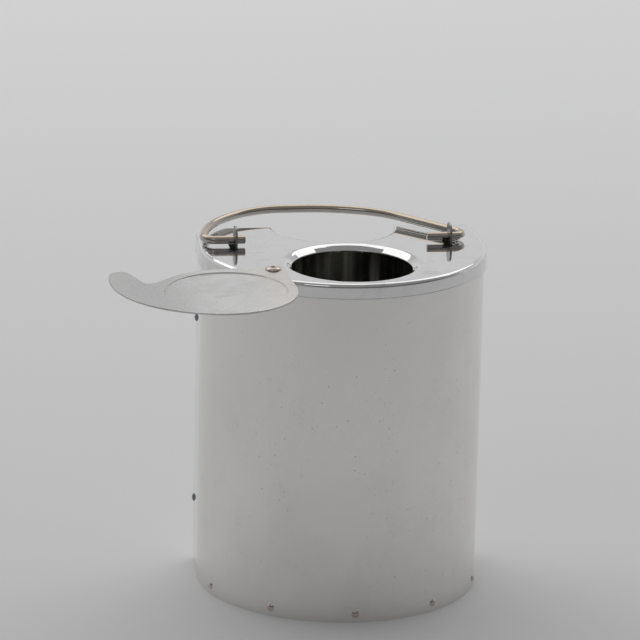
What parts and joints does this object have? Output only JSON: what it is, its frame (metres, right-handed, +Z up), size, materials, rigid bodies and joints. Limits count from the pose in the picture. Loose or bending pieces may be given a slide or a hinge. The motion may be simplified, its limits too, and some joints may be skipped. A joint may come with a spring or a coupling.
{
  "type": "ashtray bin",
  "caption": "Steel ashtray bin with a hollow back for a post: round drop hole, swing cover on a rivet, bail handle on lugs, lift-out liner.",
  "frame": {"origin": "on the base plane, under the centre of the round front", "axes": "+Z up, -Y the round front, +Y the hollow that faces the post, +X to the right seen from the front"},
  "size_m": [0.284, 0.2463, 0.2698],
  "materials": {
    "mirror_shell": "mirror-polished stainless steel, finely scratched",
    "lid_steel": "polished stainless steel, smudged and dusty",
    "cover_steel": "satin stainless steel sheet",
    "rod_steel": "drawn stainless rod, lightly polished",
    "lug_steel": "cut stainless sheet",
    "rivet_steel": "bright stainless rivet",
    "liner_steel": "dull stainless sheet, ash-stained",
    "plain_steel": "mill-finish stainless sheet"
  },
  "bodies": {
    "shell": {"shell_front": "mirror_shell", "shell_back": "mirror_shell", "shell_base": "plain_steel", "base_rivets": "rivet_steel", "side_rivets": "rivet_steel", "seam_strap_left": "plain_steel", "seam_strap_right": "plain_steel", "mount_strip_left": "plain_steel", "mount_strip_right": "plain_steel"},
    "liner": {"liner_wall": "liner_steel", "liner_base": "liner_steel", "liner_rim": "liner_steel", "lug_left": "lug_steel", "lug_right": "lug_steel", "lug_rivets": "rivet_steel", "lid_plate": "lid_steel", "pivot_washer": "rivet_steel", "back_washer": "rivet_steel", "pivot_rivet": "rivet_steel"},
    "cover": {"cover_disc": "cover_steel"},
    "bail": {"bail_handle": "rod_steel"}
  },
  "joints": [
    {"name": "liner_lift", "type": "slide", "parent": "shell", "child": "liner", "axis": [0, 0, 1], "range_m": [0, 0.26]},
    {"name": "cover_swing", "type": "hinge", "parent": "liner", "child": "cover", "pos_m": [-0.0602, -0.0705, 0.255], "axis": [-0.0206, -0.0237, 0.9995], "range_deg": [-30, 151.5]},
    {"name": "bail_swing", "type": "hinge", "parent": "liner", "child": "bail", "pos_m": [0, 0, 0.2596], "axis": [1, 0, 0], "range_deg": [0, 165]}
  ]
}
